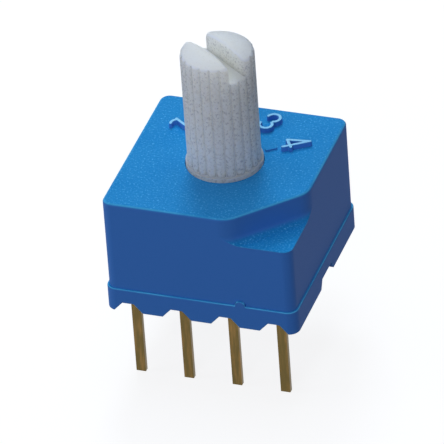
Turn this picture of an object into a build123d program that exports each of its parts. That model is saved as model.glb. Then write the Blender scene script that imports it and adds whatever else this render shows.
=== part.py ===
from build123d import *
import os
from math import cos, radians, sin

# Rotary DIP switch with one pole, four positions, a fluted shaft and two rows of board leads.
# Millimetres. Z is the shaft's axis, Z = 0 is the plane of the lead tips, and the row of leads
# with the index notch above its right-hand end faces -Y. Position 1 is modelled.

# Switching
positions = 4
step_angle = 36
first_angle = 90 + step_angle * (positions - 1) / 2

# Leads
lead_pitch = 2.54
row_spacing = 7.62
lead_width = 0.5
lead_thickness = 0.25
lead_length = 4.4
pad_circle_radius = 2.5
pad_radius = 0.45

# Base
rim_width = 0.1
base_corner = 0.55
plate_thickness = 0.8
rim_edge_round = 0.08
foot_height = 0.5
foot_band = 2.0
channel_mouth = 1.5
channel_roof = 0.6
side_gap_mouth = 2.0
side_gap_roof = 1.5
spigot_margin = 0.04
spigot_height = 0.6
key_radius = 0.27
key_offset = 2.1

# Housing
housing_wall = 0.8
housing_height = 5.1
housing_corner = 0.5
top_edge_round = 0.15
top_wall = 1.3
notch_leg = 3.2
notch_depth = 1.5
notch_blend = 1.2
notch_root_round = 0.4
tick_gap = 0.17
tick_length = 0.6
tick_width = 0.22
tick_height = 0.1

# Shaft
grip_length = 6.65
rib_count = 22
rib_radius = 0.27
crown_rise = 0.3
crown_edge_round = 0.25
slot_width = 0.85
slot_depth = 1.2
slot_edge_round = 0.25
collar_radius = 1.95
collar_step = 0.1
collar_height = 0.2
flange_margin = 0.04
flange_thickness = 0.6
drive_width = 1.7

# Seal and washer
seal_thickness = 0.55
washer_thickness = 0.15

# Detent rotor
star_notch_depth = 0.18
star_scallop_radius = 0.9
shoulder_height = 0.35
hub_radius = 2.2
hub_height = 0.45
lug_width = 0.8
lug_height = 0.8
lug_depth = 0.45
peg_radius = 0.24
peg_wall = 0.1
peg_head_radius = 0.36
peg_head_height = 0.1

# Contact wiper
wiper_thickness = 0.12
wiper_lift = 0.59
wiper_land = 0.18
arm_width = 0.85
arm_slit_width = 0.2
arm_tip_length = 0.28

# Detent springs
leaf_thickness = 0.12
leaf_length = 5.7
leaf_tail = 0.55
leaf_overhang = 0.05
leaf_bow = 0.5
leaf_bend_radius = 0.35

# Clearances
running_fit = 0.03
axial_play = 0.02
seal_fit = 0.03
drive_fit = 0.01
spigot_fit = 0.03
key_fit = 0.02
contact_gap = 0.01
leaf_slot_fit = 0.06
cavity_clearance = 0.15
stop_clearance = 0.03

# Plan sizes, from the pattern of leads out to the rim
lead_row_length = lead_pitch * (positions - 1) + lead_width
spigot_width = max(lead_row_length, row_spacing + lead_thickness) + 2 * spigot_margin
housing_width = spigot_width + 2 * housing_wall
base_width = housing_width + 2 * rim_width

# Levels, from the lead tips up
seat_z = lead_length
plate_z = seat_z + foot_height
ledge_z = plate_z + plate_thickness
floor_z = ledge_z + spigot_height
strip_z = floor_z - lead_thickness
top_z = ledge_z + housing_height
notch_z = top_z - notch_depth
ceiling_z = top_z - top_wall

# Levels of the moving stack, from the floor up to the star's lower face
wiper_z = floor_z + wiper_lift
rotor_z = wiper_z + wiper_thickness
star_z = rotor_z + hub_height

# Levels of the moving stack, from the ceiling down to the star's upper face
washer_z = ceiling_z - axial_play - washer_thickness
flange_top_z = washer_z - axial_play
rotor_top_z = flange_top_z - flange_thickness
star_top_z = rotor_top_z - shoulder_height
cavity_top_z = star_top_z + cavity_clearance
lug_top_z = star_top_z + lug_height

# Radii, from the shaft's collar outwards
rib_crest_radius = collar_radius - collar_step
tick_inner_radius = collar_radius + tick_gap
bore_radius = collar_radius + running_fit
gland_radius = bore_radius + seal_thickness + seal_fit
flange_radius = gland_radius + flange_margin
stack_radius = flange_radius + cavity_clearance
lug_inner_radius = flange_radius + cavity_clearance
star_radius = lug_inner_radius + lug_depth
cavity_radius = star_radius + cavity_clearance
peg_circle_radius = drive_width / 2 + drive_fit + peg_wall + peg_radius
wiper_radius = peg_circle_radius + peg_radius + wiper_land

# Springs, leads and stops
leaf_nose_x = star_radius - star_notch_depth + contact_gap
leaf_line_x = leaf_nose_x + leaf_bow + leaf_thickness / 2
leaf_slot_width = leaf_thickness + 2 * leaf_slot_fit
leaf_z = star_z - leaf_overhang
leaf_height = star_top_z + leaf_overhang - leaf_z
star_notches = round(360 / step_angle)
lead_row_y = row_spacing / 2
lead_xs = [lead_pitch * (i - (positions - 1) / 2) for i in range(positions)]
common_xs = lead_xs[1:-1]
position_angles = [first_angle - step_angle * i for i in range(positions)]
stop_angles = (position_angles[-1], position_angles[0])


def polar(radius, angle):
    """A point of the XY plane, from its distance to the shaft's axis and its angle in degrees."""
    return (radius * cos(radians(angle)), radius * sin(radians(angle)))


def leaf_pocket(side):
    """Plan of the pocket that grips one leaf spring's tails and leaves its bowed middle free to flex."""
    with Locations((side * leaf_line_x, 0)):
        Rectangle(leaf_slot_width, leaf_length + 2 * leaf_slot_fit)
    free_width = leaf_slot_width + leaf_bow + star_notch_depth
    with Locations((side * (leaf_line_x + leaf_slot_width / 2 + star_notch_depth - free_width / 2), 0)):
        Rectangle(free_width, leaf_length - 2 * leaf_tail)


def channel_points(centre, mouth, roof):
    """Section of a channel through the feet, sloped from its mouth at the board to its roof."""
    return [
        (centre - mouth / 2, seat_z),
        (centre - roof / 2, plate_z),
        (centre + roof / 2, plate_z),
        (centre + mouth / 2, seat_z),
    ]


os.makedirs("parts", exist_ok=True)

# Front leads: a pad and strip let into the base's floor, bent down into a square-cut leg
terminals = []
for number, (lead_x, position_angle) in enumerate(zip(lead_xs, position_angles), start=1):
    with BuildPart() as terminal:
        with BuildSketch(Plane.XY.offset(strip_z)):
            with Locations(polar(pad_circle_radius, -position_angle)):
                Circle(pad_radius)
            with Locations((lead_x, -lead_row_y)):
                Rectangle(lead_width, lead_thickness)
            make_hull()
        extrude(amount=lead_thickness)
        with BuildSketch():
            with Locations((lead_x, -lead_row_y)):
                Rectangle(lead_width, lead_thickness)
        extrude(amount=strip_z)
    terminal.part.label = f"terminal_front_{number}"
    export_step(terminal.part, f"parts/{terminal.part.label}.step")
    terminals.append(terminal.part)

# Common lead: an arc that the wiper's rear arm never leaves, on two legs of the rear row
with BuildPart() as terminal_common:
    with BuildSketch(Plane.XY.offset(strip_z)):
        sweep_angle = position_angles[0] - position_angles[-1]
        pad_line = CenterArc((0, 0), pad_circle_radius, position_angles[-1], sweep_angle, mode=Mode.PRIVATE)
        SlotArc(pad_line, height=2 * pad_radius)
        strip_start = pad_circle_radius - pad_radius
        strip_end = lead_row_y + lead_thickness / 2
        with Locations(*[(lead_x, (strip_start + strip_end) / 2) for lead_x in common_xs]):
            Rectangle(lead_width, strip_end - strip_start)
    extrude(amount=lead_thickness)
    with BuildSketch():
        with Locations(*[(lead_x, lead_row_y) for lead_x in common_xs]):
            Rectangle(lead_width, lead_thickness)
    extrude(amount=strip_z)

terminal_common.part.label = "terminal_common"
export_step(terminal_common.part, "parts/terminal_common.step")
terminals.append(terminal_common.part)

# Housing: a block with the index notch sunk in its front right-hand corner
with BuildPart() as housing:
    with BuildSketch(Plane.XY.offset(ledge_z)):
        Rectangle(2 * housing_width, 2 * housing_width)
    extrude(amount=housing_height - notch_depth)
    with BuildSketch(Plane.XY.offset(notch_z)) as notched_outline:
        Rectangle(housing_width, housing_width)
        to_notch = Axis((0, 0, 0), (1, -1, 0))
        chamfer(notched_outline.vertices().sort_by(to_notch)[-1], length=notch_leg)
        fillet(notched_outline.vertices().sort_by(to_notch)[-2:], radius=notch_blend)
        square_corners = [v for v in notched_outline.vertices() if abs(abs(v.X) - abs(v.Y)) < 1e-6]
        fillet(square_corners, radius=housing_corner)
    extrude(amount=notch_depth)
    fillet(housing.faces().sort_by(Axis.Z)[-1].outer_wire().edges(), radius=top_edge_round)

    # Coved root of the notch, rounded on a wide plate that is then trimmed to the walls
    notch_floor = housing.faces().filter_by(Axis.Z).sort_by(Axis.Z)[-2]
    fillet(notch_floor.inner_wires()[0].edges(), radius=notch_root_round)
    with BuildSketch(Plane.XY.offset(ledge_z)):
        RectangleRounded(housing_width, housing_width, housing_corner)
    extrude(amount=housing_height, mode=Mode.INTERSECT)

    # Room inside, from the open underside up
    with BuildSketch(Plane.XY.offset(ledge_z)):
        Rectangle(spigot_width + 2 * spigot_fit, spigot_width + 2 * spigot_fit)
    extrude(amount=spigot_height + axial_play, mode=Mode.SUBTRACT)
    with BuildSketch(Plane.XY.offset(floor_z)):
        Circle(cavity_radius)
        leaf_pocket(-1)
        leaf_pocket(1)
    extrude(amount=cavity_top_z - floor_z, mode=Mode.SUBTRACT)
    with BuildSketch(Plane.XY.offset(cavity_top_z)):
        Circle(stack_radius)
    extrude(amount=ceiling_z - cavity_top_z, mode=Mode.SUBTRACT)

    # Stop channel: the arc that the rotor's lug sweeps, with square ends
    with BuildSketch(Plane.XY.offset(cavity_top_z)):
        with BuildLine():
            start, end = stop_angles
            arc = CenterArc((0, 0), cavity_radius, start, end - start)
            Line(arc @ 1, (0, 0))
            Line((0, 0), arc @ 0)
        make_face()
        for stop_angle in stop_angles:
            with Locations(Location(polar(cavity_radius / 2, stop_angle), stop_angle)):
                Rectangle(cavity_radius, lug_width + 2 * stop_clearance)
        Circle(cavity_radius, mode=Mode.INTERSECT)
    extrude(amount=lug_top_z + cavity_clearance - cavity_top_z, mode=Mode.SUBTRACT)

    # Seal gland and shaft bore
    with BuildSketch(Plane.XY.offset(ceiling_z)):
        Circle(gland_radius)
    extrude(amount=seal_thickness + seal_fit, mode=Mode.SUBTRACT)
    with BuildSketch(Plane.XY.offset(ceiling_z)):
        Circle(bore_radius)
    extrude(amount=top_wall, mode=Mode.SUBTRACT)

    # Half-round notch for the base's key, in the front wall's lower edge
    with BuildSketch(Plane.XZ.offset(housing_width / 2)):
        with Locations((key_offset, ledge_z)):
            Circle(key_radius + key_fit)
    extrude(amount=-(housing_width - spigot_width) / 2, mode=Mode.SUBTRACT)

    # One raised tick for each position
    with BuildSketch(Plane.XY.offset(top_z)):
        for angle in position_angles:
            with Locations(Location(polar(tick_inner_radius + tick_length / 2, angle), angle)):
                Rectangle(tick_length, tick_width)
    extrude(amount=tick_height)

housing.part.label = "housing"
export_step(housing.part, "parts/housing.step")

# Base: the plate that carries the leads, with its rim proud of the housing's walls
with BuildPart() as base:
    with BuildSketch(Plane.XY.offset(seat_z)):
        RectangleRounded(base_width, base_width, base_corner)
    extrude(amount=foot_height + plate_thickness)
    fillet(base.faces().sort_by(Axis.Z)[-1].outer_wire().edges(), radius=rim_edge_round)
    with BuildSketch(Plane.XY.offset(ledge_z)):
        Rectangle(spigot_width, spigot_width)
    extrude(amount=spigot_height)

    # Underside: a shallow recess, then a channel at each lead and a gap at each side
    with BuildSketch(Plane.XY.offset(seat_z)):
        Rectangle(base_width - 2 * foot_band, base_width - 2 * foot_band)
    extrude(amount=foot_height, mode=Mode.SUBTRACT)
    for row_face in (Plane.XZ.offset(base_width / 2), Plane.XZ.offset(foot_band - base_width / 2)):
        with BuildSketch(row_face):
            for lead_x in lead_xs:
                with BuildLine():
                    Polyline(*channel_points(lead_x, channel_mouth, channel_roof), close=True)
                make_face()
        extrude(amount=-foot_band, mode=Mode.SUBTRACT)
    with BuildSketch(Plane.YZ):
        with BuildLine():
            Polyline(*channel_points(0, side_gap_mouth, side_gap_roof), close=True)
        make_face()
    extrude(amount=base_width / 2, both=True, mode=Mode.SUBTRACT)

    # Half-round key at the seam, flush with the rim
    with BuildSketch(Plane.XZ.offset(base_width / 2)):
        with Locations((key_offset, ledge_z)):
            Circle(key_radius)
    extrude(amount=-(base_width - spigot_width) / 2)

    # Posts that hold up the tails of the leaf springs
    with BuildSketch(Plane.XY.offset(floor_z)):
        tail_y = (leaf_length - leaf_tail) / 2
        with Locations(*[(sx * leaf_line_x, sy * tail_y) for sx in (-1, 1) for sy in (-1, 1)]):
            Rectangle(leaf_slot_width - leaf_slot_fit, leaf_tail)
    extrude(amount=leaf_z - contact_gap - floor_z)

    # Seats of the leads, which the plate is moulded round
    add(terminals, mode=Mode.SUBTRACT)

base.part.label = "base"
export_step(base.part, "parts/base.step")

# Shaft: fluted grip, collar, flange and square drive in one moulding
grip_z = top_z + collar_height
crown_z = grip_z + grip_length
dome_radius = (rib_crest_radius**2 + crown_rise**2) / (2 * crown_rise)
with BuildPart() as shaft:
    # Post under a shallow dome with a rounded rim
    with BuildSketch(Plane.XZ) as crown_profile:
        with BuildLine():
            side = Polyline((0, grip_z), (rib_crest_radius, grip_z), (rib_crest_radius, crown_z - crown_rise))
            dome = RadiusArc(side @ 1, (0, crown_z), -dome_radius)
            Line(dome @ 1, side @ 0)
        make_face()
        to_rim = Axis((0, 0, 0), (1, 1, 0))
        fillet(crown_profile.vertices().sort_by(to_rim)[-1], radius=crown_edge_round)
    revolve(axis=Axis.Z)

    # Screwdriver slot, which points at the selected position
    with BuildSketch(Plane.XY.offset(crown_z - slot_depth)):
        Rectangle(2 * collar_radius, slot_width, rotation=first_angle)
    extrude(amount=slot_depth, mode=Mode.SUBTRACT)
    slot_mouth = shaft.edges().filter_by(GeomType.CIRCLE).sort_by(Axis.Z)[-2:]
    fillet(slot_mouth, radius=slot_edge_round)

    # Flutes between round ribs
    with BuildSketch(Plane.XY.offset(grip_z)):
        Circle(rib_crest_radius - rib_radius)
        first_rib_angle = first_angle + 180 / rib_count
        with PolarLocations(rib_crest_radius - rib_radius, rib_count, start_angle=first_rib_angle):
            Circle(rib_radius)
    extrude(amount=grip_length, mode=Mode.INTERSECT)

    # Journal in the housing's bore, with the flange and the square drive below
    with BuildSketch(Plane.XY.offset(flange_top_z)):
        Circle(collar_radius)
    extrude(amount=grip_z - flange_top_z)
    with BuildSketch(Plane.XY.offset(rotor_top_z)):
        Circle(flange_radius)
    extrude(amount=flange_thickness)
    with BuildSketch(Plane.XY.offset(rotor_z)):
        Rectangle(drive_width, drive_width, rotation=first_angle)
    extrude(amount=rotor_top_z - rotor_z)

shaft.part.label = "shaft"
export_step(shaft.part, "parts/shaft.step")

# Seal: a square-cut rubber ring in the gland
with BuildPart() as shaft_seal:
    with BuildSketch(Plane.XY.offset(ceiling_z)):
        Circle(gland_radius - seal_fit)
        Circle(bore_radius, mode=Mode.SUBTRACT)
    extrude(amount=seal_thickness)

shaft_seal.part.label = "shaft_seal"
export_step(shaft_seal.part, "parts/shaft_seal.step")

# Washer between the shaft's flange and the housing's ceiling
with BuildPart() as thrust_washer:
    with BuildSketch(Plane.XY.offset(washer_z)):
        Circle(flange_radius)
        Circle(bore_radius, mode=Mode.SUBTRACT)
    extrude(amount=washer_thickness)

thrust_washer.part.label = "thrust_washer"
export_step(thrust_washer.part, "parts/thrust_washer.step")

# Detent rotor: star wheel on a hub, turned by the shaft's square drive
with BuildPart() as detent_rotor:
    with BuildSketch(Plane.XY.offset(rotor_z)):
        Circle(hub_radius)
    extrude(amount=hub_height)
    with BuildSketch(Plane.XY.offset(star_z)):
        Circle(star_radius)
        with PolarLocations(star_radius - star_notch_depth + star_scallop_radius, star_notches):
            Circle(star_scallop_radius, mode=Mode.SUBTRACT)
    extrude(amount=star_top_z - star_z)
    with BuildSketch(Plane.XY.offset(star_top_z)):
        Circle(flange_radius)
    extrude(amount=shoulder_height)

    # Stop lug on the star's upper face, outside the shaft's flange
    with BuildSketch(Plane.XY.offset(star_top_z)):
        with Locations(Location(polar(star_radius / 2, first_angle), first_angle)):
            Rectangle(star_radius, lug_width)
        Circle(star_radius, mode=Mode.INTERSECT)
        Circle(lug_inner_radius, mode=Mode.SUBTRACT)
    extrude(amount=lug_height)

    # Pegs staked over the wiper
    with BuildSketch(Plane.XY.offset(wiper_z)):
        with PolarLocations(peg_circle_radius, 2, start_angle=first_angle + 90):
            Circle(peg_radius)
    extrude(amount=wiper_thickness)
    with BuildSketch(Plane.XY.offset(wiper_z - peg_head_height)):
        with PolarLocations(peg_circle_radius, 2, start_angle=first_angle + 90):
            Circle(peg_head_radius)
    extrude(amount=peg_head_height)

    # Square socket for the shaft
    with BuildSketch(Plane.XY.offset(rotor_z)):
        Rectangle(drive_width + 2 * drive_fit, drive_width + 2 * drive_fit, rotation=first_angle)
    extrude(amount=rotor_top_z - rotor_z, mode=Mode.SUBTRACT)

detent_rotor.part.label = "detent_rotor"
export_step(detent_rotor.part, "parts/detent_rotor.step")

# Wiper: a spring disc with two split arms, bent down onto opposite pads
with BuildPart() as contact_wiper:
    with BuildSketch(Plane.XY.offset(wiper_z)):
        Circle(wiper_radius)
    extrude(amount=wiper_thickness)
    arm_top = wiper_z + wiper_thickness / 2
    arm_bottom = floor_z + contact_gap + wiper_thickness / 2
    for arm_angle in (first_angle, first_angle + 180):
        outward = (*polar(1, arm_angle), 0)
        arm_plane = Plane(origin=(0, 0, 0), x_dir=outward, z_dir=(outward[1], -outward[0], 0))
        with BuildSketch(arm_plane):
            with BuildLine():
                FilletPolyline(
                    (wiper_radius / 2, arm_top),
                    (wiper_radius, arm_top),
                    (pad_circle_radius, arm_bottom),
                    (pad_circle_radius + arm_tip_length, arm_bottom + arm_tip_length / 2),
                    radius=wiper_thickness,
                )
            trace(line_width=wiper_thickness)
        extrude(amount=arm_width / 2, both=True)
    with BuildSketch(Plane.XY.offset(floor_z)):
        with PolarLocations(wiper_radius + pad_circle_radius / 2, 2, start_angle=first_angle):
            Rectangle(pad_circle_radius, arm_slit_width)
        with PolarLocations(peg_circle_radius, 2, start_angle=first_angle + 90):
            Circle(peg_radius + drive_fit)
    extrude(amount=rotor_z - floor_z, mode=Mode.SUBTRACT)

contact_wiper.part.label = "contact_wiper"
export_step(contact_wiper.part, "parts/contact_wiper.step")

# Detent springs: bowed leaves whose noses rest in two opposite notches of the star
for side_name, side in (("left", -1), ("right", 1)):
    with BuildPart() as detent_spring:
        with BuildSketch(Plane.XY.offset(leaf_z)):
            with BuildLine():
                nose_x = leaf_nose_x + leaf_thickness / 2
                FilletPolyline(
                    (side * leaf_line_x, -leaf_length / 2),
                    (side * leaf_line_x, -leaf_length / 2 + leaf_tail),
                    (side * nose_x, 0),
                    (side * leaf_line_x, leaf_length / 2 - leaf_tail),
                    (side * leaf_line_x, leaf_length / 2),
                    radius=leaf_bend_radius,
                )
            trace(line_width=leaf_thickness)
        extrude(amount=leaf_height)
    detent_spring.part.label = f"detent_spring_{side_name}"
    export_step(detent_spring.part, f"parts/{detent_spring.part.label}.step")
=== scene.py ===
"""Finishes, raised numerals, studio and camera for a four-position rotary DIP switch.

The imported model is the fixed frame. Every rigid piece keeps its own solid and gets the finish of
what it is moulded or stamped from. The numerals on the housing's top are made here.
Lengths are in millimetres until they reach a mesh, a light or a node, which take metres.
"""

import logging
import math
from dataclasses import dataclass
from enum import Enum

import bmesh
import bpy
import numpy as np
from mathutils import Matrix, Vector


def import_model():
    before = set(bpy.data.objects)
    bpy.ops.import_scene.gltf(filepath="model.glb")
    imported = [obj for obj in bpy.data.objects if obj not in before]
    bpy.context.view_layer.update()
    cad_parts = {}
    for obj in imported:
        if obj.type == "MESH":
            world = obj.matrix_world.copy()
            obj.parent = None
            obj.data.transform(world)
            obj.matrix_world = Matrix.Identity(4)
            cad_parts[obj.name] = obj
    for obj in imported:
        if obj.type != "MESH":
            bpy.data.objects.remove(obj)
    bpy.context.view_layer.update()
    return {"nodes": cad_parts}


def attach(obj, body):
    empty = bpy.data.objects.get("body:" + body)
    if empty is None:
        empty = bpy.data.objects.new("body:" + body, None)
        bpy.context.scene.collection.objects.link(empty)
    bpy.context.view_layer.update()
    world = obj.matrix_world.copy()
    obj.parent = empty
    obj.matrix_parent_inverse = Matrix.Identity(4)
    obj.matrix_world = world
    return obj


MM = 0.001
WHITE = (1.0, 1.0, 1.0, 1.0)
log = logging.getLogger("rotary_dip_switch")

Tree = bpy.types.NodeTree
Socket = bpy.types.NodeSocket


class Sight(Enum):
    """Kind of ray that sees the surroundings themselves, where others only bring their light."""

    CAMERA = "Is Camera Ray"
    GLOSS = "Is Glossy Ray"
    GLASS = "Is Transmission Ray"


def linear(hex_colour: str) -> tuple[float, float, float, float]:
    """Turns an sRGB colour to the linear one that a shader takes.

    Args:
        hex_colour: Colour as "#rrggbb".

    Returns:
        Linear red, green, blue and an alpha of 1.
    """
    channels = np.array([int(hex_colour[i : i + 2], 16) for i in (1, 3, 5)]) / 255
    low, high = channels / 12.92, ((channels + 0.055) / 1.055) ** 2.4
    red, green, blue = np.where(channels <= 0.04045, low, high)
    return float(red), float(green), float(blue), 1.0


def add_node(
    tree: Tree,
    kind: str,
    settings: dict[str | int, object] | None = None,
    links: dict[str | int, Socket] | None = None,
) -> bpy.types.Node:
    """Adds a node with its settings and links.

    Args:
        tree: Node tree that gets the node.
        kind: Blender's name of the node type.
        settings: Value of each input socket, by name or number, or of each property, by name.
        links: Socket that feeds each input, by the input's name or number.

    Returns:
        The new node.
    """
    node = tree.nodes.new(kind)
    for key, value in (settings or {}).items():
        if isinstance(key, int) or key in node.inputs:
            node.inputs[key].default_value = value
        else:
            setattr(node, key, value)
    for key, socket in (links or {}).items():
        tree.links.new(socket, node.inputs[key])
    return node


def ramp(
    tree: Tree, value: Socket, start: float, end: float, low: float = 0.0, high: float = 1.0
) -> Socket:
    """Turns one range of a value to another and holds it at the ends.

    Args:
        tree: Node tree that gets the node.
        value: The value.
        start: Value that gives low.
        end: Value that gives high, which may lie below the start.
        low: Result at the start.
        high: Result at the end.

    Returns:
        Socket with the result.
    """
    limits = {"From Min": start, "From Max": end, "To Min": low, "To Max": high}
    return add_node(tree, "ShaderNodeMapRange", limits, {"Value": value}).outputs["Result"]


def blend(tree: Tree, share: Socket, first: str | Socket, second: str) -> Socket:
    """Mixes two colours.

    Args:
        tree: Node tree that gets the node.
        share: Share of the second colour.
        first: First colour, as "#rrggbb" or as a socket.
        second: Second colour, as "#rrggbb".

    Returns:
        Socket with the mixed colour.
    """
    settings = {"data_type": "RGBA", 7: linear(second)}
    links = {0: share}
    if isinstance(first, str):
        settings[6] = linear(first)
    else:
        links[6] = first
    return add_node(tree, "ShaderNodeMix", settings, links).outputs[2]


def calculate(
    tree: Tree, operation: str, first: Socket, second: Socket | float | None = None
) -> Socket:
    """Does one sum.

    Args:
        tree: Node tree that gets the node.
        operation: Blender's name of the sum.
        first: First value.
        second: Second value, or None where the sum takes only one.

    Returns:
        Socket with the result.
    """
    settings, links = {"operation": operation}, {0: first}
    if isinstance(second, float):
        settings[1] = second
    elif second is not None:
        links[1] = second
    return add_node(tree, "ShaderNodeMath", settings, links).outputs[0]


def noise(
    tree: Tree, place: Socket, scale: float, detail: float, roughness: float = 0.5
) -> Socket:
    """Draws soft random spots.

    Args:
        tree: Node tree that gets the node.
        place: Place at which the spots are read.
        scale: Spots to each unit of the place.
        detail: Number of finer layers.
        roughness: How strong each finer layer is beside the one before.

    Returns:
        Socket with the spots' height, from 0 to 1.
    """
    settings = {"Scale": scale, "Detail": detail, "Roughness": roughness}
    return add_node(tree, "ShaderNodeTexNoise", settings, {"Vector": place}).outputs["Fac"]


def drawn_noise(
    tree: Tree, place: Socket, width: float, length: float, detail: float, roughness: float = 0.5
) -> Socket:
    """Draws random streaks along Z.

    Args:
        tree: Node tree that gets the nodes.
        place: Place in the object's own coordinates.
        width: Width of a streak.
        length: Length of a streak.
        detail: Number of finer layers.
        roughness: How strong each finer layer is beside the one before.

    Returns:
        Socket with the streaks' height, from 0 to 1.
    """
    across, along = 1 / (width * MM), 1 / (length * MM)
    stretch = {"Scale": (across, across, along)}
    stretched = add_node(tree, "ShaderNodeMapping", stretch, {"Vector": place})
    return noise(tree, stretched.outputs["Vector"], 1.0, detail, roughness)


def new_material(name: str) -> tuple[bpy.types.Material, Tree, bpy.types.Node]:
    """Makes a material that holds only its output.

    Args:
        name: Name of the material.

    Returns:
        The material, its node tree and its output node.
    """
    material = bpy.data.materials.new(name)
    material.use_nodes = True
    material.node_tree.nodes.clear()
    return material, material.node_tree, add_node(material.node_tree, "ShaderNodeOutputMaterial")


def dress(piece: bpy.types.Object, material: bpy.types.Material) -> None:
    """Gives a piece one material over its whole surface.

    Args:
        piece: The piece.
        material: Its material.
    """
    piece.data.materials.clear()
    piece.data.materials.append(material)


# Upward part of a face's normal up to which it is upright, and from which it is level.
UPRIGHT, LEVEL = 0.3, 0.8
# Upward part of the normal in the middle of a rounded upper edge, and the difference from it at
# which the edge ends and within which it is whole.
LEAN, LEAN_END, LEAN_WHOLE = 0.72, 0.3, 0.08
# Product of the face's own normal and the rounded one, beside a sharp edge and right on it.
BESIDE_EDGE, ON_EDGE = 0.97, 0.8
# Share of a point's surroundings that is open where painted shade ends, and where it is full.
OPEN, SHELTERED = 0.86, 0.5
# Height of the grain where a pit starts and where it is full, and the climb to a full high point.
PIT_START, PIT_FULL, FLECK_CLIMB = 0.48, 0.3, 0.16
# Usual lowest, mean and highest height of the grain, and how far the roughness swings over it.
GRAIN_LOW, GRAIN_MEAN, GRAIN_HIGH, ROUGHNESS_SWING = 0.3, 0.5, 0.7, 0.06
# Width of the slow flow marks.
CLOUD_WIDTH = 2.2
# The painted edge highlight lies in patches, which follow the flow marks: height of those where it
# starts and where it is full, and the share of it that every edge has.
HIGHLIGHT_START, HIGHLIGHT_FULL, HIGHLIGHT_LEAST = 0.25, 0.5, 0.1
# Height of a metal's streaks at which a film with a share of 0 would start, and the climb from
# there to the full film.
FILM_START, FILM_CLIMB = 0.75, 0.3
# Refractive index of polymers.
POLYMER_IOR = 1.5


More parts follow.
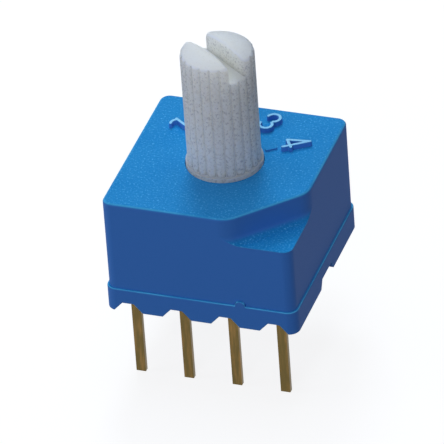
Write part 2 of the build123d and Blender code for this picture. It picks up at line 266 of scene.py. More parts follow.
@dataclass(frozen=True)
class MouldedPlastic:
    """Injection-moulded thermoplastic with its mould's texture, and painted shade and highlights.

    Attributes:
        name: Real material and process.
        colour: Colour of most of the surface.
        cloud_colour: Colour that slow flow marks drift towards.
        fleck_glint_colour: Colour of the grain's high points, partly their own tone and partly
            painted glints.
        pit_colour: Colour of the grain's pits.
        edge_highlight_colour: Colour of the painted highlight along edges.
        recess_shade_colour: Colour of the painted shade in valleys, corners and seams.
        wall_shade_colour: Colour painted on upright faces as a tint of their shade and sheen, or
            None where they take that of the flow marks.
        fleck_share: How strongly the high points and the pits show, from 0 to 1.
        fleck_level: Height from which a point of the grain counts as high, from 0 to 1.
        top_grain: How strongly the texture shows on faces that look up, from 0 to 1.
        side_grain: The same on upright faces, which slide out of the mould and are smoother.
        roughness: Roughness at the grain's mean height.
        gloss: Strength of the reflection, where 0.5 is that of a plain polymer.
        gloss_colour: Colour of the reflection, reddish on phthalocyanine blue, which bronzes.
        glow_depth: How far light travels under the surface.
        glow_share: Share of the light that does so, 0 for an opaque plastic.
        glow_reach: How far red, green and blue light get, as shares of that depth.
        grain: Spacing of the mould's texture.
        grain_depth: Height of the mould's texture.
        edge_round: Radius that the mould leaves on sharp edges.
        edge_highlight_share: How strongly the painted edge highlight shows, from 0 to 1.
        upper_edge_z: Height above which a rounded edge takes the painted highlight.
        recess_shade_share: How strongly the painted shade in the recesses shows, from 0 to 1.
        recess_shade_reach: How far from its walls a recess keeps its painted shade.
    """

    name: str
    colour: str
    cloud_colour: str
    fleck_glint_colour: str
    pit_colour: str
    edge_highlight_colour: str
    recess_shade_colour: str
    wall_shade_colour: str | None = None
    fleck_share: float = 0.3
    fleck_level: float = 0.56
    top_grain: float = 1.0
    side_grain: float = 1.0
    roughness: float = 0.65
    gloss: float = 0.27
    gloss_colour: str = "#ffffff"
    glow_depth: float = 0.0
    glow_share: float = 0.0
    glow_reach: tuple[float, float, float] = (1.0, 0.9, 0.75)
    grain: float = 0.1
    grain_depth: float = 0.006
    edge_round: float = 0.05
    edge_highlight_share: float = 0.1
    upper_edge_z: float = 10.5
    recess_shade_share: float = 0.2
    recess_shade_reach: float = 0.25

    def texture(self, tree: Tree, place: Socket, upward: Socket) -> Socket:
        """Draws the mould's texture, at its own strength on level and on upright faces.

        Args:
            tree: Node tree that gets the nodes.
            place: Place in the object's own coordinates.
            upward: Upward part of the face's normal.

        Returns:
            Height of the texture, from 0 to 1.
        """
        spots = noise(tree, place, 1 / (self.grain * MM), detail=2.0, roughness=0.6)
        strength = ramp(tree, upward, UPRIGHT, LEVEL, self.side_grain, self.top_grain)
        links = {0: strength, 3: spots}
        return add_node(tree, "ShaderNodeMix", {2: GRAIN_MEAN}, links).outputs[0]

    def grain_and_tint_colour(self, tree: Tree, grain: Socket, cloud: Socket, upright: Socket) -> Socket:
        """Colours the surface with flow marks, pits and high points, and upright faces with the
        wall colour, which where given is a painted shade tint.

        Args:
            tree: Node tree that gets the nodes.
            grain: Height of the texture.
            cloud: Height of the flow marks.
            upright: 1 on upright faces and 0 on level ones.

        Returns:
            The colour.
        """
        level_colour = blend(tree, cloud, self.colour, self.cloud_colour)
        # Upright faces take the wall colour, where given a painted tint of their shade and sheen.
        body_colour = blend(tree, upright, level_colour, self.wall_shade_colour or self.cloud_colour)
        pits = ramp(tree, grain, PIT_START, PIT_FULL, high=self.fleck_share)
        pitted = blend(tree, pits, body_colour, self.pit_colour)
        # The high points are lightened partly as the grain's tone and partly as painted glints.
        full_level = self.fleck_level + FLECK_CLIMB
        glint_points = ramp(tree, grain, self.fleck_level, full_level, high=self.fleck_share)
        return blend(tree, glint_points, pitted, self.fleck_glint_colour)

    def darkening(self, tree: Tree, upright: Socket) -> Socket:
        """Finds where painted shade goes: in recesses of upright faces, and none on level ones.

        Args:
            tree: Node tree that gets the nodes.
            upright: 1 on upright faces and 0 on level ones.

        Returns:
            Share of the painted shade.
        """
        openness = add_node(
            tree,
            "ShaderNodeAmbientOcclusion",
            {"samples": 8, "only_local": True, "Distance": self.recess_shade_reach * MM},
        )
        shelter = ramp(tree, openness.outputs["AO"], OPEN, SHELTERED, high=self.recess_shade_share)
        return calculate(tree, "MULTIPLY", shelter, upright)

    def painted_edge_highlight(
        self, tree: Tree, place: Socket, upward: Socket, rounded: Socket, cloud: Socket
    ) -> Socket:
        """Finds the edges that take the painted highlight.

        A sharp edge is where the rounded normal leaves the face's own one. An upper edge that is
        round in the solid is where the surface leans between level and upright.

        Args:
            tree: Node tree that gets the nodes.
            place: Place in the object's own coordinates.
            upward: Upward part of the face's normal.
            rounded: Normal with the sharp edges rounded.
            cloud: Height of the flow marks.

        Returns:
            Share of the painted highlight colour.
        """
        surface = add_node(tree, "ShaderNodeNewGeometry")
        flatness = add_node(
            tree,
            "ShaderNodeVectorMath",
            {"operation": "DOT_PRODUCT"},
            {0: rounded, 1: surface.outputs["Normal"]},
        )
        sharp_edges = ramp(tree, flatness.outputs["Value"], BESIDE_EDGE, ON_EDGE)
        lean = calculate(tree, "SUBTRACT", upward, LEAN)
        leaning = ramp(tree, calculate(tree, "ABSOLUTE", lean), LEAN_END, LEAN_WHOLE)
        height = add_node(tree, "ShaderNodeSeparateXYZ", links={0: place}).outputs["Z"]
        upper = calculate(tree, "GREATER_THAN", height, self.upper_edge_z * MM)
        round_edges = calculate(tree, "MULTIPLY", leaning, upper)
        edges = calculate(tree, "MAXIMUM", sharp_edges, round_edges)
        patches = ramp(tree, cloud, HIGHLIGHT_START, HIGHLIGHT_FULL, HIGHLIGHT_LEAST, self.edge_highlight_share)
        return calculate(tree, "MULTIPLY", edges, patches)

    def make(self) -> bpy.types.Material:
        """Builds the material.

        Returns:
            A plastic whose grain carries its flecks, its roughness and its bump together.
        """
        material, tree, output = new_material(self.name)
        coordinates = add_node(tree, "ShaderNodeTexCoord")
        place = coordinates.outputs["Object"]
        normal = {0: coordinates.outputs["Normal"]}
        upward = add_node(tree, "ShaderNodeSeparateXYZ", links=normal).outputs["Z"]
        upright = ramp(tree, upward, LEVEL, UPRIGHT)
        grain = self.texture(tree, place, upward)
        cloud = noise(tree, place, 1 / (CLOUD_WIDTH * MM), detail=3.0)
        edge = add_node(tree, "ShaderNodeBevel", {"samples": 8, "Radius": self.edge_round * MM})
        rounded = edge.outputs["Normal"]
        tinted = self.grain_and_tint_colour(tree, grain, cloud, upright)
        # Painted shade darkens the recesses of upright faces.
        recess_shaded = blend(tree, self.darkening(tree, upright), tinted, self.recess_shade_colour)
        # Painted highlight lightens sharp edges and rounded upper edges in patches.
        painted_highlight = self.painted_edge_highlight(tree, place, upward, rounded, cloud)
        colour = blend(tree, painted_highlight, recess_shaded, self.edge_highlight_colour)
        dullest, glossiest = self.roughness + ROUGHNESS_SWING, self.roughness - ROUGHNESS_SWING
        roughness = ramp(tree, grain, GRAIN_LOW, GRAIN_HIGH, dullest, glossiest)
        bump = add_node(
            tree,
            "ShaderNodeBump",
            {"Strength": 1.0, "Distance": self.grain_depth * MM},
            {"Height": grain, "Normal": rounded},
        )
        shader = add_node(
            tree,
            "ShaderNodeBsdfPrincipled",
            {
                "IOR": POLYMER_IOR,
                "Specular IOR Level": self.gloss,
                "Specular Tint": linear(self.gloss_colour),
                "Subsurface Weight": self.glow_share,
                "Subsurface Radius": self.glow_reach,
                "Subsurface Scale": self.glow_depth * MM,
            },
            {"Base Color": colour, "Roughness": roughness, "Normal": bump.outputs["Normal"]},
        )
        tree.links.new(shader.outputs["BSDF"], output.inputs["Surface"])
        return material


@dataclass(frozen=True)
class StampedMetal:
    """Metal rolled to strip and stamped, with rolling lines and a dull film, both along Z.

    Attributes:
        name: Real material and process.
        colour: Colour of the clean metal.
        film_colour: Colour of the tarnish.
        film_share: Share of the surface that the film takes, from 0 to 1.
        film_width: Width of the film's streaks.
        film_length: Length of the film's streaks.
        roughness: Roughness of the metal between its lines.
        line_spacing: Spacing of the rolling lines.
        line_length: Length of the rolling lines.
        line_depth: Depth of the rolling lines.
        line_roughness: Lowest and highest roughness over the lines, beside the metal's own.
        edge_round: Radius of the stamped edges.
    """

    name: str
    colour: str
    film_colour: str
    film_share: float = 0.5
    film_width: float = 0.18
    film_length: float = 1.44
    roughness: float = 0.35
    line_spacing: float = 0.05
    line_length: float = 1.2
    line_depth: float = 0.004
    line_roughness: tuple[float, float] = (-0.08, 0.12)
    edge_round: float = 0.015

    def make(self) -> bpy.types.Material:
        """Builds the material.

        Returns:
            A metal with lines along Z under a patchy film.
        """
        material, tree, output = new_material(self.name)
        place = add_node(tree, "ShaderNodeTexCoord").outputs["Object"]
        lines = drawn_noise(tree, place, self.line_spacing, self.line_length, detail=2.0)
        streaks = drawn_noise(
            tree, place, self.film_width, self.film_length, detail=4.0, roughness=0.6
        )
        film_start = FILM_START - self.film_share
        darkening = ramp(tree, streaks, film_start, film_start + FILM_CLIMB)
        colour = blend(tree, darkening, self.colour, self.film_colour)
        glossiest, dullest = (self.roughness + change for change in self.line_roughness)
        roughness = ramp(tree, lines, 0.0, 1.0, glossiest, dullest)
        edge = add_node(tree, "ShaderNodeBevel", {"samples": 6, "Radius": self.edge_round * MM})
        bump = add_node(
            tree,
            "ShaderNodeBump",
            {"Strength": 0.6, "Distance": self.line_depth * MM},
            {"Height": lines, "Normal": edge.outputs["Normal"]},
        )
        shader = add_node(
            tree,
            "ShaderNodeBsdfPrincipled",
            {"Metallic": 1.0},
            {"Base Color": colour, "Roughness": roughness, "Normal": bump.outputs["Normal"]},
        )
        tree.links.new(shader.outputs["BSDF"], output.inputs["Surface"])
        return material


# Polybutylene terephthalate from a spark-eroded mould. The eye gets a satin blue top that sparkles
# with pale flecks, partly the grain's tone and partly painted glints, and a painted highlight line
# along the upper edges. The walls slid along the steel, so they are smoother; their violet cast is
# a painted tint of their shade and sheen, beside the reddish reflection of bronzing phthalocyanine
# blue. Recesses carry painted shade.
# The real grain is about 0.03 mm, finer than the picture can show, so it is drawn at 0.1 mm.
HOUSING_PLASTIC = MouldedPlastic(
    "blue_pbt_moulded_spark_eroded",
    colour="#1a8ace",
    cloud_colour="#1f8dd1",
    fleck_glint_colour="#5fc2f4",
    pit_colour="#1080c2",
    edge_highlight_colour="#4cb6ea",
    recess_shade_colour="#1a6fb0",
    wall_shade_colour="#4485d4",
    fleck_share=0.9,
    fleck_level=0.57,
    side_grain=0.25,
    gloss=0.35,
    gloss_colour="#ff9acb",
    grain=0.1,
    edge_highlight_share=0.9,
)
# The same blue from a polished mould. The eye gets an even satin violet-blue, the walls' violet a
# painted tint of their shade and sheen, with the rim set off by a painted highlight line. The grain
# is drawn about three times as coarse as it is.
BASE_PLASTIC = MouldedPlastic(
    "blue_pbt_moulded_base",
    colour="#1a8ace",
    cloud_colour="#1f8dd1",
    fleck_glint_colour="#48aae2",
    pit_colour="#1686c8",
    edge_highlight_colour="#66d4ff",
    recess_shade_colour="#1a6fb0",
    wall_shade_colour="#4485d4",
    fleck_share=0.4,
    side_grain=0.4,
    gloss=0.35,
    gloss_colour="#ff9acb",
    grain_depth=0.004,
    edge_round=0.07,
    edge_highlight_share=0.9,
    upper_edge_z=5.5,
)
# The tops of the raised numerals, painted pale as a highlight on them. The eye gets pale blue
# strokes that stand out from the blue of their sides. The grain is drawn about three times as
# coarse as it is.
NUMERAL_TOP_HIGHLIGHT = MouldedPlastic(
    "blue_pbt_painted_top_highlight",
    colour="#92d8ff",
    cloud_colour="#98dbff",
    fleck_glint_colour="#b8e6ff",
    pit_colour="#80cefa",
    edge_highlight_colour="#b4e2ff",
    recess_shade_colour="#6cc2f6",
    roughness=0.5,
    grain_depth=0.002,
    edge_round=0.02,
)
# Natural nylon from a rough mould, which light enters and leaves again further on. The eye gets a
# soft milky white with grey pits, painted shade in the valleys between the ribs and painted
# highlights on the edges.
# The real grain is about 0.05 mm, finer than the picture can show, so it is drawn at 0.12 mm.
SHAFT_PLASTIC = MouldedPlastic(
    "white_nylon_moulded",
    colour="#fcf9e9",
    cloud_colour="#fdfaec",
    fleck_glint_colour="#fffef4",
    pit_colour="#d0cec8",
    edge_highlight_colour="#ffffff",
    recess_shade_colour="#b2b0aa",
    fleck_share=0.9,
    fleck_level=0.48,
    top_grain=0.3,
    glow_depth=7.0,
    glow_share=0.8,
    edge_round=0.07,
    edge_highlight_share=0.9,
    recess_shade_share=0.7,
    recess_shade_reach=0.6,
    grain=0.12,
    grain_depth=0.01,
)
# Acetal with carbon black, for the hidden star wheel. The eye gets a soft, slightly greasy
# black. The grain is drawn about three times as coarse as it is.
ROTOR_PLASTIC = MouldedPlastic(
    "black_acetal_moulded",
    colour="#1c1d1f",
    cloud_colour="#232427",
    fleck_glint_colour="#3a3b3e",
    pit_colour="#121314",
    edge_highlight_colour="#2a2b2d",
    recess_shade_colour="#151617",
    roughness=0.5,
)
# Nitrile rubber from a plain mould. The eye gets a dull, flat black. The grain is drawn about
# twice as coarse as it is.
SEAL_RUBBER = MouldedPlastic(
    "black_nitrile_rubber_moulded",
    colour="#17181a",
    cloud_colour="#1b1c1e",
    fleck_glint_colour="#28292b",
    pit_colour="#101112",
    edge_highlight_colour="#1f2022",
    recess_shade_colour="#131415",
    roughness=0.75,
    grain=0.06,
)
# Brass strip that has dulled in storage. The eye gets brownish gold with darker streaks along
# each lead. The rolling lines are really about 0.01 mm apart, too fine to show, so they are
# drawn at 0.05 mm here and on the other metals.
LEAD_BRASS = StampedMetal("brass_stamped_dull", colour="#8f7144", film_colour="#6b5c37")
# Phosphor bronze, cleaner than the leads. The eye gets a warm copper tone with few streaks.
WIPER_BRONZE = StampedMetal(
    "phosphor_bronze_stamped", colour="#c79a6b", film_colour="#a27a50", film_share=0.3
)
# Stainless spring strip. The eye gets a grey metal with fine lines along it.
SPRING_STEEL = StampedMetal(
    "spring_steel_rolled", colour="#a9abae", film_colour="#85878a", film_share=0.3
)
# Stainless sheet. The eye gets a paler, cleaner grey than on the springs.
WASHER_STEEL = StampedMetal(
    "stainless_steel_stamped", colour="#b9bbbd", film_colour="#a0a2a4", film_share=0.2
)


@dataclass
class Numeral:
    """A raised moulded numeral, made of round-ended strokes that lean in towards their tops.

    Attributes:
        name: Name of the piece.
        strokes: Centre line of each stroke, in the numeral's own plane, with its middle at 0, 0.
        angle: Angle round the shaft at which it stands, with its head outwards.
        radius: Distance of its middle from the shaft's axis.
        foot_z: Height of the surface that it rises from.
        foot_depth: How far its foot reaches below that surface.
        height: Height above that surface.
        top_step: How much lower each further stroke's top lies, so that no two share a plane.
        stroke_width: Width of a stroke at its top.
        draft: How much wider than its top each side of a stroke is at its foot.
        edge_round: Radius of the top edges.
        edge_points: Points of the section over that radius.
        end_stations: Stations of the path over a quarter turn of a stroke's end.
    """

    name: str
    strokes: list[np.ndarray]
    angle: float
    radius: float = 3.65
    foot_z: float = 10.8
    foot_depth: float = 0.02
    height: float = 0.27
    top_step: float = 0.004
    stroke_width: float = 0.16
    draft: float = 0.02
    edge_round: float = 0.03
    edge_points: int = 5
    end_stations: int = 6

    def profile(self) -> tuple[np.ndarray, np.ndarray]:
        """Works out half of a stroke's section.

        The side climbs from below the surface to the start of a quarter circle, which turns it
        into the flat top, and the last point is the middle of the top.

        Returns:
            Distance from the centre line and height of each point.
        """
        half = self.stroke_width / 2
        turn = np.linspace(0, math.pi / 2, self.edge_points)
        out = half - self.edge_round * (1 - np.cos(turn))
        up = self.height - self.edge_round * (1 - np.sin(turn))
        widths = np.concatenate(([half + self.draft], out, [0.0]))
        heights = np.concatenate(([-self.foot_depth], up, [self.height]))
        return widths, heights

    def stroke(self, line: np.ndarray, sink: float) -> tuple[np.ndarray, np.ndarray]:
        """Carries the section along a centre line and turns it round each end.

        Row i of the grid is one station of the path: at a station of the line the section stands
        across it, and at a station of an end it is swung about the end point, so that each level
        closes in a half circle. The grid's columns run from one foot over the top to the other.

        Args:
            line: Points of the centre line, one per row.
            sink: How far the top is let down.

        Returns:
            Vertices, and quads as rows of vertex numbers.
        """
        widths, heights = self.profile()
        across = np.concatenate((widths, -widths[-2::-1]))
        level = np.concatenate((heights, heights[-2::-1])) - sink
        ahead = np.gradient(line, axis=0)
        ahead /= np.linalg.norm(ahead, axis=1, keepdims=True)
        # Both ends' stations stand on the line's own end points.
        stations = np.ones(len(line), int)
        stations[[0, -1]] += self.end_stations
        centre, lead = np.repeat(line, stations, 0), np.repeat(ahead, stations, 0)
        swing = np.radians(np.linspace(90, 0, self.end_stations + 1))[:-1]
        turn = np.concatenate((-swing, np.zeros(len(line)), swing[::-1]))
        side = np.stack((-lead[:, 1], lead[:, 0]), axis=1)
        reach = np.abs(across)[None, :] * np.sin(turn)[:, None]
        offset = across[None, :] * np.cos(turn)[:, None]
        plan = centre[:, None] + lead[:, None] * reach[..., None]
        plan = plan + side[:, None] * offset[..., None]
        height = np.broadcast_to(level, plan.shape[:2])
        points = np.concatenate((plan, height[..., None]), axis=2).reshape(-1, 3)
        rows, columns = plan.shape[:2]
        corner = (np.arange(rows - 1)[:, None] * columns + np.arange(columns - 1)).ravel()
        quads = np.stack((corner, corner + columns, corner + columns + 1, corner + 1), axis=1)
        return points, quads

    def build(self) -> bpy.types.Object:
        """Joins the strokes in one mesh and sets it in place round the shaft.

        Returns:
            The numeral's object, with its place in its mesh.
        """
        points, quads, count = [], [], 0
        for index, line in enumerate(self.strokes):
            vertices, faces = self.stroke(line, self.top_step * index)
            points.append(vertices)
            quads.append(faces + count)
            count += len(vertices)
        points, quads = np.concatenate(points), np.concatenate(quads)
        a = math.radians(self.angle)
        outwards = np.array([math.cos(a), math.sin(a)])
        rightwards = np.array([math.sin(a), -math.cos(a)])
        plan = points[:, :1] * rightwards + (points[:, 1:2] + self.radius) * outwards
        placed = np.concatenate((plan, points[:, 2:] + self.foot_z), axis=1) * MM
        mesh = bpy.data.meshes.new(self.name)
        mesh.from_pydata(placed.tolist(), [], quads.tolist())
        piece = bpy.data.objects.new(self.name, mesh)
        bpy.context.scene.collection.objects.link(piece)
        close_mesh(mesh)
        return piece


def close_mesh(mesh: bpy.types.Mesh, join: float = 1e-4, shortest: float = 1e-5) -> None:
    """Merges doubled vertices, turns the faces outwards and shades them smooth.

    Args:
        mesh: The mesh.
        join: Distance within which two vertices are one.
        shortest: Length under which an edge is taken out.
    """
    work = bmesh.new()
    work.from_mesh(mesh)
    bmesh.ops.remove_doubles(work, verts=work.verts, dist=join * MM)
    bmesh.ops.dissolve_degenerate(work, edges=work.edges, dist=shortest * MM)
    bmesh.ops.recalc_face_normals(work, faces=work.faces)
    work.to_mesh(mesh)
    work.free()
    mesh.shade_smooth()


def straight(start: tuple[float, float], end: tuple[float, float], points: int = 12) -> np.ndarray:
    """Gives points along a straight line.

    Args:
        start: First point.
        end: Last point.
        points: Number of points.

    Returns:
        One point per row, evenly spaced.
    """
    return np.linspace(start, end, points)


def bow(
    centre: tuple[float, float],
    radii: tuple[float, float],
    start: float,
    end: float,
    points: int = 28,
) -> np.ndarray:
    """Gives points along an elliptical arc.

    Args:
        centre: Centre of the ellipse.
        radii: Its half width and half height.
        start: Angle of the first point, in degrees.
        end: Angle of the last point, in degrees.
        points: Number of points.

    Returns:
        Centre plus half width times cosine and half height times sine, one point per row.
    """
    t = np.radians(np.linspace(start, end, points))
    return np.stack((centre[0] + radii[0] * np.cos(t), centre[1] + radii[1] * np.sin(t)), axis=1)


def numerals(first_angle: float, step: float) -> list[Numeral]:
    """Lays out the numerals 1 to 4 round the shaft, clockwise from the first.

    Args:
        first_angle: Angle of the numeral 1.
        step: Angle from one numeral to the next.

    Returns:
        The four numerals.
    """
    one = [straight((0.1, -0.75), (0.1, 0.6)), bow((-0.12, 0.38), (0.26, 0.2), 62, 150, 12)]
    # The bowl of the two runs on into its slanting neck without a second point where they meet.
    bowl, neck = bow((0, 0.34), (0.32, 0.34), 175, -30), straight((0.22, 0.07), (-0.32, -0.66))
    two = [np.concatenate((bowl, neck[1:])), straight((-0.32, -0.66), (0.32, -0.66))]
    three = [
        bow((0, 0.33), (0.33, 0.33), 180, -58),
        bow((0, -0.33), (0.33, 0.31), 58, -180),
    ]
    four = [
        straight((0.18, -0.7), (0.18, 0.7)),
        straight((0.18, 0.7), (-0.33, -0.33)),
        straight((-0.33, -0.33), (0.33, -0.33)),
    ]
    shapes = enumerate((one, two, three, four))
    return [Numeral(f"numeral_{i + 1}", strokes, first_angle - step * i) for i, strokes in shapes]


@dataclass
class HousingShell:
    """Blue shell with its raised numerals, which stand a little further apart than its ticks.

    Attributes:
        first_angle: Angle of the numeral 1 round the shaft.
        step_angle: Angle from one numeral to the next.
        top_facing: Upward part of the normal from which a numeral's face is part of its top and
            takes the painted highlight.
    """

    first_angle: float = 144.0
    step_angle: float = 37.0
    top_facing: float = 0.6

    def build(self, nodes: dict[str, bpy.types.Object]) -> None:
        """Dresses the shell and stands the numerals on its top.

        Args:
            nodes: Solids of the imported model, by name.
        """
        blue, top_highlight = HOUSING_PLASTIC.make(), NUMERAL_TOP_HIGHLIGHT.make()
        dress(nodes["housing"], blue)
        for numeral in numerals(self.first_angle, self.step_angle):
            piece = numeral.build()
            dress(piece, blue)
            piece.data.materials.append(top_highlight)
            # Faces that look up take the pale material: a painted highlight on the numerals' tops.
            facing = np.empty(3 * len(piece.data.polygons))
            piece.data.polygons.foreach_get("normal", facing)
            painted_highlight = (facing[2::3] > self.top_facing).astype(np.int32)
            piece.data.polygons.foreach_set("material_index", painted_highlight)
            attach(piece, "body")
            log.info("%s: %d faces", piece.name, len(piece.data.polygons))


@dataclass
class TerminalBase:
    """Base with a contact lead for each position and the common lead.

    Attributes:
        positions: Number of positions.
    """

    positions: int = 4

    def build(self, nodes: dict[str, bpy.types.Object]) -> None:
        """Dresses the base and its leads.

        Args:
            nodes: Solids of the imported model, by name.
        """
        dress(nodes["base"], BASE_PLASTIC.make())
        brass = LEAD_BRASS.make()
        leads = [f"terminal_front_{i + 1}" for i in range(self.positions)] + ["terminal_common"]
        for lead in leads:
            dress(nodes[lead], brass)
        log.info("base: %d leads", len(leads))


@dataclass
class TurningParts:
    """Fluted shaft with the star wheel and the wiper that turn with it."""

    def build(self, nodes: dict[str, bpy.types.Object]) -> None:
        """Dresses the turning pieces.

        Args:
            nodes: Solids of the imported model, by name.
        """
        dress(nodes["shaft"], SHAFT_PLASTIC.make())
        dress(nodes["detent_rotor"], ROTOR_PLASTIC.make())
        dress(nodes["contact_wiper"], WIPER_BRONZE.make())
        log.info("turning parts: shaft, star wheel and wiper")


@dataclass
class FixedWorks:
    """Springs, washer and seal inside the shell."""

    def build(self, nodes: dict[str, bpy.types.Object]) -> None:
        """Dresses the small fixed pieces.

        Args:
            nodes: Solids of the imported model, by name.
        """
        steel = SPRING_STEEL.make()
        for side in ("left", "right"):
            dress(nodes[f"detent_spring_{side}"], steel)
        dress(nodes["thrust_washer"], WASHER_STEEL.make())
        dress(nodes["shaft_seal"], SEAL_RUBBER.make())
        log.info("works: springs, washer and seal")


@dataclass(frozen=True)
class Softbox:
    """A square lamp that faces a point of the switch.

    Attributes:
        name: Name of the lamp.
        azimuth: Direction that it stands in, from +X towards +Y, in degrees.
        elevation: Its height above the horizon, in degrees.
        distance: Its distance from the point that it faces.
        width: Side of its square.
        level: Light that it gives a white surface that faces it, where 1 shows white.
        colour: Colour of its light.
    """

    name: str
    azimuth: float
    elevation: float
    distance: float
    width: float
    level: float
    colour: str

    def place(self, target: Vector) -> None:
        """Hangs the lamp where it lights the switch but shows in no reflection.

        Its power is its level times pi squared times the distance squared. At a level of 1 that
        gives a facing surface the irradiance pi, at which a matt colour shows as it is written.
        Gloss rays miss the lamp, as if a veil hung before it, so satin plastic has no hot spot.

        Args:
            target: Point that the lamp faces.
        """
        a, e = math.radians(self.azimuth), math.radians(self.elevation)
        towards = Vector((math.cos(a) * math.cos(e), math.sin(a) * math.cos(e), math.sin(e)))
        lamp = bpy.data.lights.new(self.name, "AREA")
        lamp.shape = "SQUARE"
        lamp.size = self.width * MM
        lamp.energy = self.level * math.pi**2 * (self.distance * MM) ** 2
        lamp.color = linear(self.colour)[:3]
        holder = bpy.data.objects.new(self.name, lamp)
        holder.location = target + towards * self.distance * MM
        holder.rotation_mode = "QUATERNION"
        holder.rotation_quaternion = towards.to_track_quat("Z", "Y")
        holder.visible_glossy = False
        bpy.context.scene.collection.objects.link(holder)


@dataclass(frozen=True)
class Studio:
    """Pale floor, soft light and white surroundings.

    Attributes:
        floor_width: Side of the square floor.
        floor_colour: Colour that the floor throws back onto the switch.
        paper_colour: Colour of the floor that takes the shadow that the eye sees.
        paper_glow: Light that the floor gives the eye by itself, where 1 shows white.
        sky_level: Light of the surroundings on the switch, where 1 shows white.
        sky_colour: Colour of that light, a cool one that makes the shaded sides a deeper blue.
        target: Point that the lamps face.
        lamps: The lamps.
    """

    floor_width: float = 3000.0
    floor_colour: str = "#686c7a"
    paper_colour: str = "#808080"
    paper_glow: float = 0.86
    sky_level: float = 0.1
    sky_colour: str = "#d7e0ff"
    target: tuple[float, float, float] = (0.0, 0.0, 8.0)
    lamps: tuple[Softbox, ...] = (
        Softbox("overhead_softbox", 110, 78, distance=120, width=80, level=0.36, colour="#ebf6ff"),
        Softbox("back_softbox", 110, 48, distance=110, width=30, level=0.35, colour="#ebf6ff"),
        Softbox("front_fill", -85, 30, distance=140, width=80, level=0.3, colour="#e8ebfa"),
        Softbox("left_softbox", -165, 16, distance=130, width=60, level=0.2, colour="#eef4ff"),
    )

    def seen_directly(self, tree: Tree) -> Socket:
        """Tells rays that see the surroundings from rays that light the switch.

        Args:
            tree: Node tree that gets the nodes.

        Returns:
            Socket that is 1 for the kinds of ray in Sight and 0 for the rest.
        """
        path = add_node(tree, "ShaderNodeLightPath")
        camera, gloss, glass = (path.outputs[ray.value] for ray in Sight)
        return calculate(tree, "MAXIMUM", calculate(tree, "MAXIMUM", camera, gloss), glass)

    def lay_floor(self) -> None:
        """Lays the floor under the lead tips, white to the eye and grey to the light it returns."""
        half = self.floor_width * MM / 2
        mesh = bpy.data.meshes.new("floor")
        corners = [(-half, -half, 0), (half, -half, 0), (half, half, 0), (-half, half, 0)]
        mesh.from_pydata(corners, [], [(0, 1, 2, 3)])
        floor = bpy.data.objects.new("floor", mesh)
        bpy.context.scene.collection.objects.link(floor)
        material, tree, output = new_material("white_paper_sweep")
        matt = add_node(tree, "ShaderNodeBsdfDiffuse", {"Color": linear(self.floor_colour)})
        paper = add_node(tree, "ShaderNodeBsdfDiffuse", {"Color": linear(self.paper_colour)})
        glow = add_node(
            tree, "ShaderNodeEmission", {"Color": WHITE, "Strength": self.paper_glow}
        )
        layers = {0: paper.outputs[0], 1: glow.outputs[0]}
        seen = add_node(tree, "ShaderNodeAddShader", links=layers)
        sides = {0: self.seen_directly(tree), 1: matt.outputs[0], 2: seen.outputs[0]}
        surface = add_node(tree, "ShaderNodeMixShader", links=sides)
        tree.links.new(surface.outputs["Shader"], output.inputs["Surface"])
        dress(floor, material)

    def light_sky(self) -> None:
        """Makes the surroundings white to the eye and gives them their level on the switch."""
        world = bpy.data.worlds.new("white_studio")
        world.use_nodes = True
        tree = world.node_tree
        tree.nodes.clear()
        cool = {"Color": linear(self.sky_colour), "Strength": self.sky_level}
        light = add_node(tree, "ShaderNodeBackground", cool)
        white = add_node(tree, "ShaderNodeBackground", {"Color": WHITE, "Strength": 1.0})
        sides = {0: self.seen_directly(tree), 1: light.outputs[0], 2: white.outputs[0]}
        sky = add_node(tree, "ShaderNodeMixShader", links=sides)
        output = add_node(tree, "ShaderNodeOutputWorld")
        tree.links.new(sky.outputs["Shader"], output.inputs["Surface"])
        bpy.context.scene.world = world

    def build(self) -> None:
        """Sets up the floor, the surroundings and the lamps."""
        self.lay_floor()
        self.light_sky()
        for lamp in self.lamps:
            lamp.place(Vector(self.target) * MM)
        log.info("studio: %d lamps", len(self.lamps))


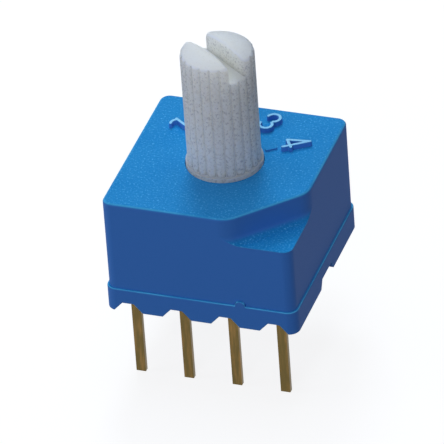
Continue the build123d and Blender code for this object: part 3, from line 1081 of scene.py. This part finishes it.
@dataclass(frozen=True)
class PhotoCamera:
    """Camera at the photograph's viewing angle.

    Attributes:
        azimuth: Turn round the switch from its front towards its right, in degrees.
        elevation: Height above the horizon, in degrees.
        roll: Turn of the frame about the line of sight, in degrees.
        distance: Distance from the middle of the housing's top.
        scale: Pixels to a millimetre at that distance.
        aim: Middle of the housing's top.
        aim_pixel: Where the photograph shows it, from the upper left corner.
        frame: Side of the photograph in pixels.
        sensor: Width of the camera's sensor.
        clip: Nearest and farthest distance that the camera sees.
    """

    azimuth: float = 20.61
    elevation: float = 34.71
    roll: float = -4.21
    distance: float = 400.0
    scale: float = 20.15
    aim: tuple[float, float, float] = (0.0, 0.0, 10.8)
    aim_pixel: tuple[float, float] = (224.86, 160.3)
    frame: float = 444.0
    sensor: float = 36.0
    clip: tuple[float, float] = (10.0, 20000.0)

    def sight(self) -> np.ndarray:
        """Works out the direction from the camera to its aim.

        Returns:
            The direction, of length 1.
        """
        a, e = np.radians((self.azimuth, self.elevation))
        return np.array((-np.sin(a) * np.cos(e), np.cos(a) * np.cos(e), -np.sin(e)))

    def axes(self) -> np.ndarray:
        """Works out the camera's right, down and forward directions.

        Right and down are turned by the roll, and all three are then turned by the small angle
        that brings the aim from the frame's middle to its own pixel.

        Returns:
            The three directions, one per row.
        """
        a, r = np.radians((self.azimuth, self.roll))
        forward = self.sight()
        right = np.array((np.cos(a), np.sin(a), 0.0))
        down = np.cross(forward, right)
        rolled = np.array(
            (np.cos(r) * right - np.sin(r) * down, np.sin(r) * right + np.cos(r) * down, forward)
        )
        offset = (np.array(self.aim_pixel) - self.frame / 2) / (self.scale * self.distance)
        line = Vector((offset[0], offset[1], 1.0))
        swing = Vector((0, 0, 1)).rotation_difference(line.normalized()).to_matrix()
        return np.array(swing) @ rolled

    def build(self) -> None:
        """Makes the camera and gives it to the scene."""
        right, down, forward = self.axes()
        data = bpy.data.cameras.new("photo_camera")
        data.sensor_width = self.sensor
        data.lens = data.sensor_width * self.scale * self.distance / self.frame
        data.clip_start, data.clip_end = (length * MM for length in self.clip)
        camera = bpy.data.objects.new("photo_camera", data)
        turn = Matrix((right, -down, -forward)).transposed().to_4x4()
        place = (np.array(self.aim) - self.distance * self.sight()) * MM
        camera.matrix_world = Matrix.Translation(place) @ turn
        bpy.context.scene.collection.objects.link(camera)
        bpy.context.scene.camera = camera
        log.info("camera: lens %.1f mm", data.lens)


def main() -> None:
    """Builds the switch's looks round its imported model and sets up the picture."""
    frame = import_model()
    nodes = frame["nodes"]
    for part in (HousingShell(), TerminalBase(), TurningParts(), FixedWorks()):
        part.build(nodes)
    Studio().build()
    PhotoCamera().build()
    bpy.context.scene.view_settings.view_transform = "Standard"


if __name__ == "__main__":
    logging.basicConfig(level=logging.INFO, format="%(name)s %(message)s")
    main()
